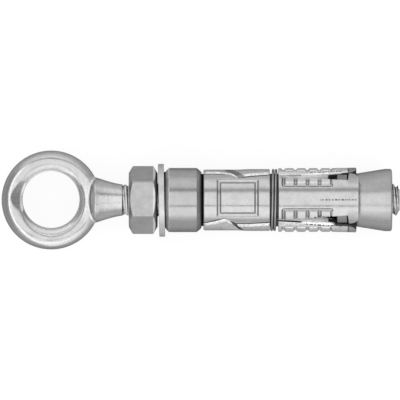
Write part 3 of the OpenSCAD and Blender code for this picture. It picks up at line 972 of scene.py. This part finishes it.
def make_spring_ring(sides=12, steps=72):
    """Not quite two turns of wire in the groove."""
    count = round(SPRING_TURNS * steps) + 1
    middle_x = (GROOVE_X + REAR_X) / 2 - 0.08
    i = np.arange(count)[:, None]
    turn = pi + 2 * pi * i / steps
    around = 2 * pi * np.arange(sides)[None, :] / sides
    r = SPRING_R - SPRING_WIRE_R + SPRING_WIRE_R * np.cos(around)
    x = middle_x - SPRING_PITCH * SPRING_TURNS / 2 + SPRING_PITCH * i / steps
    points = about_bolt(x + SPRING_WIRE_R * np.sin(around), r, turn)
    return piece("wire_ring", [(points, tube_faces(count, sides))])


def lug(quarter):
    """A lug of the cone nut, with bevelled edges."""
    base = CONE_BORE_R + 0.6
    bm = bmesh.new()
    bmesh.ops.create_cube(bm, size=1)
    for v in bm.verts:
        v.co.x = LUG_X + LUG_LEN * (v.co.x + 0.5)
        v.co.y = LUG_W * v.co.y
        v.co.z = base + (sqrt(LUG_R ** 2 - v.co.y ** 2) - base) * (v.co.z + 0.5)
    bmesh.ops.bevel(bm, geom=bm.edges[:], offset=LUG_BEVEL, segments=3, profile=0.6,
                    affect="EDGES")
    points = np.array([v.co for v in bm.verts])
    faces = [[v.index for v in f.verts] for f in bm.faces]
    bm.free()
    return turned(points, -SHIELD_TURNED + 45 + 90 * quarter), faces


# How much painted shade the turned cone takes, by its height across the picture
CONE_TONE_Y = [-5.6, -4.0, -2.9, -2.4, 1.9, 2.4, 4.0, 5.0]
CONE_SHADE = [0.5, 0.6, 0.6, 0, 0, 0.8, 0.8, 0]


def make_cone_nut():
    """The turned cone and its lugs, dark where the shield shades them."""
    outline = rounded([
        [CONE_X, CONE_BORE_R, 0.1], [CONE_X, cone_r(CONE_X), 0.12],
        [LUG_X, cone_r(LUG_X), 0], [LUG_X + 0.2, cone_r(LUG_X + 0.2), 0],
        [CONE_LAND_X, CONE_R, 0.12], [CONE_END_X, CONE_R, 0.55],
        [CONE_END_X, CONE_BORE_R + 0.4, 0.06], [CONE_END_X - 0.4, CONE_BORE_R, 0.06]])
    shells = [lathe(outline)] + [lug(k) for k in range(4)]
    body = shells[0][0].reshape(-1, 3)
    lugs = np.concatenate([points for points, _ in shells[1:]])
    lug_foot = np.hypot(lugs[:, 1], lugs[:, 2]) < LUG_R - 0.6
    dark = np.append(between(body[:, 0], CONE_X, LUG_X, 0.1), np.where(lug_foot, 1, 0.42))
    painted_shade = np.append(np.interp(body[:, 1], CONE_TONE_Y, CONE_SHADE), np.zeros(len(lugs)))
    return piece("turned_cone_nut", shells, marks={"dark": dark, "painted_shade": painted_shade})


# Materials


def node_tree(name):
    """A new material and its tree, still without nodes."""
    material = bpy.data.materials.new(name)
    material.use_nodes = True
    material.node_tree.nodes.clear()
    return material, material.node_tree


def feed(tree, socket, value):
    """Gives an input the value of another socket, a written one, or a grey for a colour."""
    if isinstance(value, bpy.types.NodeSocket):
        tree.links.new(value, socket)
    elif socket.type == "RGBA":
        socket.default_value = (value, value, value, 1)
    else:
        socket.default_value = value


def add(tree, kind, inputs=None, **settings):
    """A new shader node with its settings, and its inputs by their name or place."""
    node = tree.nodes.new("ShaderNode" + kind)
    for key, value in settings.items():
        setattr(node, key, value)
    for key, value in (inputs or {}).items():
        feed(tree, node.inputs[key], value)
    return node


def calculated(tree, operation, *values, clamp=False):
    """The result of a math node on written values or sockets."""
    node = add(tree, "Math", dict(enumerate(values)), operation=operation, use_clamp=clamp)
    return node.outputs[0]


def noise(tree, place, scale, stretch=(1, 1, 1), detail=4.0, roughness=0.55):
    """Noise at a place in object space, where scale is in features to a metre."""
    mapping = add(tree, "Mapping", {"Vector": place, "Scale": stretch})
    node = add(tree, "TexNoise", {
        "Vector": mapping.outputs["Vector"], "Scale": scale, "Detail": detail,
        "Roughness": roughness})
    return node.outputs["Fac"]


def spread(tree, value, low, high):
    """Maps the middle of a noise to the range from low to high."""
    node = add(tree, "MapRange", {
        "Value": value, "From Min": 0.3, "From Max": 0.7, "To Min": low, "To Max": high})
    return node.outputs["Result"]


def mixed(tree, kind, factor, start, end, **settings):
    """A value between two, where kind is RGBA or FLOAT."""
    node = add(tree, "Mix", {"Factor": factor}, data_type=kind, **settings)
    socket_type = {"RGBA": "RGBA", "FLOAT": "VALUE"}[kind]
    ends = [socket for socket in node.inputs if socket.type == socket_type][-2:]
    feed(tree, ends[0], start)
    feed(tree, ends[1], end)
    return [socket for socket in node.outputs if socket.type == socket_type][0]


def mark(tree, name):
    """The value of a piece's mark, which is zero on pieces without it."""
    return add(tree, "Attribute", attribute_name=name).outputs["Fac"]


def bumped(tree, height, micrometres, normal=None):
    """A normal with bumps of a height, over another normal where one is given."""
    inputs = {"Strength": 1.0, "Distance": micrometres * MICRON, "Height": height}
    if normal is not None:
        inputs["Normal"] = normal
    return add(tree, "Bump", inputs).outputs["Normal"]


def ring_streaks(tree, place):
    """Streaks that run round the eye, a little wavy, from noise along the radius."""
    flat = add(tree, "VectorMath", {0: place, 1: (1, 1, 0)}, operation="MULTIPLY")
    radius = add(tree, "VectorMath", {0: flat.outputs["Vector"]}, operation="LENGTH")
    wavy = calculated(tree, "MULTIPLY_ADD", noise(tree, place, 90, detail=1.0), 0.0016,
                      radius.outputs["Value"])
    node = add(tree, "TexNoise", {"W": wavy, "Scale": 1300, "Detail": 3.0}, noise_dimensions="1D")
    return node.outputs["Fac"]


# Pale mix for sheared faces and painted highlights, grey mix for painted shade, and near black
# for deep painted shade and the scratch
SHEAR_AND_HIGHLIGHT_GREYS = (0.74, 0.97)
SHEAR_AND_HIGHLIGHT_ROUGH = 0.55
SHEAR_AND_HIGHLIGHT_METAL = 0.1
SHADE_GREYS = (0.22, 0.31)
SHADE_ROUGH = 0.45
DARK_GREY = 0.004
DARK_ROUGH = 0.6
EDGE_TINT = 0.36


def with_marks(tree, fine, mottling, colour, rough):
    """Colour, roughness and metal of a steel with its marks laid over: shear and painted
    highlight, painted shade, then deep painted shade and the scratch.
    """
    factor = spread(tree, fine, *mottling)
    cut = calculated(tree, "MULTIPLY", mark(tree, "cut"), factor, clamp=True)
    grain = spread(tree, fine, 0, 1)
    metal = mixed(tree, "FLOAT", cut, 1.0, SHEAR_AND_HIGHLIGHT_METAL)
    for factor, grey, new_rough in (
            (cut, mixed(tree, "RGBA", grain, *SHEAR_AND_HIGHLIGHT_GREYS), SHEAR_AND_HIGHLIGHT_ROUGH),
            (mark(tree, "painted_shade"), mixed(tree, "RGBA", grain, *SHADE_GREYS), SHADE_ROUGH),
            (mark(tree, "dark"), DARK_GREY, DARK_ROUGH)):
        colour = mixed(tree, "RGBA", factor, colour, grey)
        rough = mixed(tree, "FLOAT", factor, rough, new_rough)
    return colour, rough, metal


def plated_steel(name, greys, gloss, grain, waves, streaks=0, stretch=(1, 1, 1),
                 mottling=(0.9, 1.15)):
    """Zinc-plated steel: mottled colour and gloss, waves of the forming and fine grain.

    greys and gloss are ranges of grey and roughness; grain, waves and streaks are heights in
    micrometres; mottling is the range of the factor on the mark for sheared faces and painted
    highlights.
    """
    material, tree = node_tree(name)
    place = add(tree, "TexCoord").outputs["Object"]
    fine = noise(tree, place, 2300, detail=3.0)
    mottle = noise(tree, place, 520, detail=8.0, roughness=0.78)
    colour = mixed(tree, "RGBA", spread(tree, mottle, 0, 1), *greys)
    rough = spread(tree, noise(tree, place, 900, stretch), *gloss)
    colour, rough, metal = with_marks(tree, fine, mottling, colour, rough)
    normal = bumped(tree, noise(tree, place, 160, detail=2.0), waves)
    if streaks:
        normal = bumped(tree, ring_streaks(tree, place), streaks, normal)
    normal = bumped(tree, noise(tree, place, 2600, stretch, detail=3.0), grain, normal)
    shader = add(tree, "BsdfPrincipled", {
        "Base Color": colour, "Roughness": rough, "Metallic": metal, "Normal": normal,
        "Specular Tint": EDGE_TINT})
    add(tree, "OutputMaterial", {"Surface": shader.outputs["BSDF"]})
    return material


# The steel of each slot, as plated_steel reads it
STEELS = {
    "forged_eye": dict(greys=(0.34, 0.44), gloss=(0.14, 0.24), grain=2, waves=40, streaks=36),
    "nut_steel": dict(greys=(0.27, 0.36), gloss=(0.30, 0.40), grain=4, waves=6),
    "washer_steel": dict(greys=(0.33, 0.41), gloss=(0.30, 0.42), grain=3, waves=8),
    "collar_steel": dict(greys=(0.29, 0.35), gloss=(0.12, 0.20), grain=1.2, waves=4),
    "shield_steel": dict(greys=(0.33, 0.42), gloss=(0.12, 0.22), grain=1.5, waves=8,
                         mottling=(0.55, 1.7)),
    "spring_steel": dict(greys=(0.22, 0.28), gloss=(0.25, 0.35), grain=1, waves=2),
    "cone_steel": dict(greys=(0.31, 0.37), gloss=(0.20, 0.30), grain=0.6, waves=5,
                       stretch=(1, 0.08, 0.08)),
}


# Stage, light and camera

FLOOR_GREY = 0.9
FLOOR_GLOW = 0.85


def floor_material():
    """Matt and pale for the light, and nearly white for the camera and in reflections."""
    material, tree = node_tree("pale_floor")
    path = add(tree, "LightPath").outputs
    seen = calculated(tree, "MAXIMUM", path["Is Camera Ray"], path["Is Glossy Ray"])
    seen = calculated(tree, "MAXIMUM", seen, path["Is Transmission Ray"])
    matt = add(tree, "BsdfDiffuse", {"Color": FLOOR_GREY})
    white = add(tree, "Emission", {"Strength": 1.0})
    mix = add(tree, "MixShader", {
        "Fac": calculated(tree, "MULTIPLY", seen, FLOOR_GLOW),
        1: matt.outputs["BSDF"], 2: white.outputs["Emission"]})
    add(tree, "OutputMaterial", {"Surface": mix.outputs["Shader"]})
    return material


def make_floor():
    """A square of floor that the part just touches."""
    z = cad_box[0].z
    mesh = bpy.data.meshes.new("floor")
    corners = [(-1, -1), (1, -1), (1, 1), (-1, 1)]
    mesh.from_pydata([(FLOOR_HALF * x, FLOOR_HALF * y, z) for x, y in corners], [],
                     [(0, 1, 2, 3)])
    mesh.materials.append(floor_material())
    floor = bpy.data.objects.new("floor", mesh)
    bpy.context.scene.collection.objects.link(floor)


def ramp(tree, value, low, high, stops):
    """A grey value from stops [angle, grey], for an angle in degrees from low to high."""
    fraction = add(tree, "MapRange", {
        "Value": value, "From Min": radians(low), "From Max": radians(high)})
    node = add(tree, "ValToRGB", {"Fac": fraction.outputs["Result"]})
    elements = node.color_ramp.elements
    while len(elements) < len(stops):
        elements.new(0.5)
    for element, (angle, grey) in zip(elements, stops):
        element.position = (angle - low) / (high - low)
        element.color = (grey, grey, grey, 1)
    return node.outputs["Color"]


# Grey of the studio by the angle across the bolt, from -Y over the top to +Y
ACROSS = [(-180, 0.45), (-88, 0.5), (-76, 0.62), (-67, 1.0), (-52, 1.15), (-26, 1.16),
          (-24, 1.0), (-22.7, 0.2), (-20.8, 0.2), (-19.3, 1.0), (-17, 1.08), (26, 1.02),
          (30, 0.75), (33, 0.45), (40, 0.42), (46, 0.8), (54, 0.95), (75, 0.92), (92, 0.62),
          (180, 0.5)]
# Factor by the angle along the bolt, from -X to +X
ALONG = [(-90, 0.35), (-52, 0.4), (-42, 0.5), (-39, 1.2), (-22, 1.2), (-17, 1.0), (22, 1.0),
         (45, 0.7), (60, 0.5), (90, 0.4)]
STUDIO_STRENGTH = 1.7


def make_light():
    """A light tent whose brightness depends on the direction alone."""
    world = bpy.data.worlds.new("light_tent")
    bpy.context.scene.world = world
    world.use_nodes = True
    tree = world.node_tree
    tree.nodes.clear()
    place = add(tree, "TexCoord").outputs["Generated"]
    parts = add(tree, "SeparateXYZ", {"Vector": place}).outputs
    across = calculated(tree, "ARCTAN2", parts["Y"], parts["Z"])
    along = calculated(tree, "ARCSINE", parts["X"])
    both = mixed(tree, "RGBA", 1.0, ramp(tree, across, -180, 180, ACROSS),
                 ramp(tree, along, -90, 90, ALONG), blend_type="MULTIPLY")
    background = add(tree, "Background", {"Color": both, "Strength": STUDIO_STRENGTH})
    add(tree, "OutputWorld", {"Surface": background.outputs["Background"]})


def make_camera():
    """Straight above, far enough away to look flat."""
    data = bpy.data.cameras.new("camera")
    data.sensor_width = SENSOR_WIDTH
    data.lens = SENSOR_WIDTH * CAMERA_HEIGHT / VIEW_WIDTH
    data.clip_start = 0.1
    data.clip_end = 10.0
    camera = bpy.data.objects.new("camera", data)
    camera.location = (VIEW_MIDDLE_X, 0, CAMERA_HEIGHT)
    bpy.context.scene.collection.objects.link(camera)
    bpy.context.scene.camera = camera


steels = {name: plated_steel(name, **look) for name, look in STEELS.items()}
pieces = [
    ("eyebolt", "forged_eye", make_eyebolt()),
    ("hex_nut", "nut_steel", make_hex_nut()),
    ("washer", "washer_steel", make_washer()),
    ("collar", "collar_steel", make_collar()),
    ("segment_upper", "shield_steel", make_marked_segment("stamped_upper", 0)),
    ("segment_left", "shield_steel", make_plain_segment("stamped_left", 1, LEFT_SIDE)),
    ("segment_lower", "shield_steel", make_marked_segment("stamped_lower", 2)),
    ("segment_right", "shield_steel", make_plain_segment("stamped_right", 3, RIGHT_SIDE)),
    ("spring_ring", "spring_steel", make_spring_ring()),
    ("cone_nut", "cone_steel", make_cone_nut()),
]
for node, slot, obj in pieces:
    dress(obj, node, steels[slot])
make_floor()
make_light()
make_camera()
bpy.context.scene.view_settings.view_transform = "Standard"
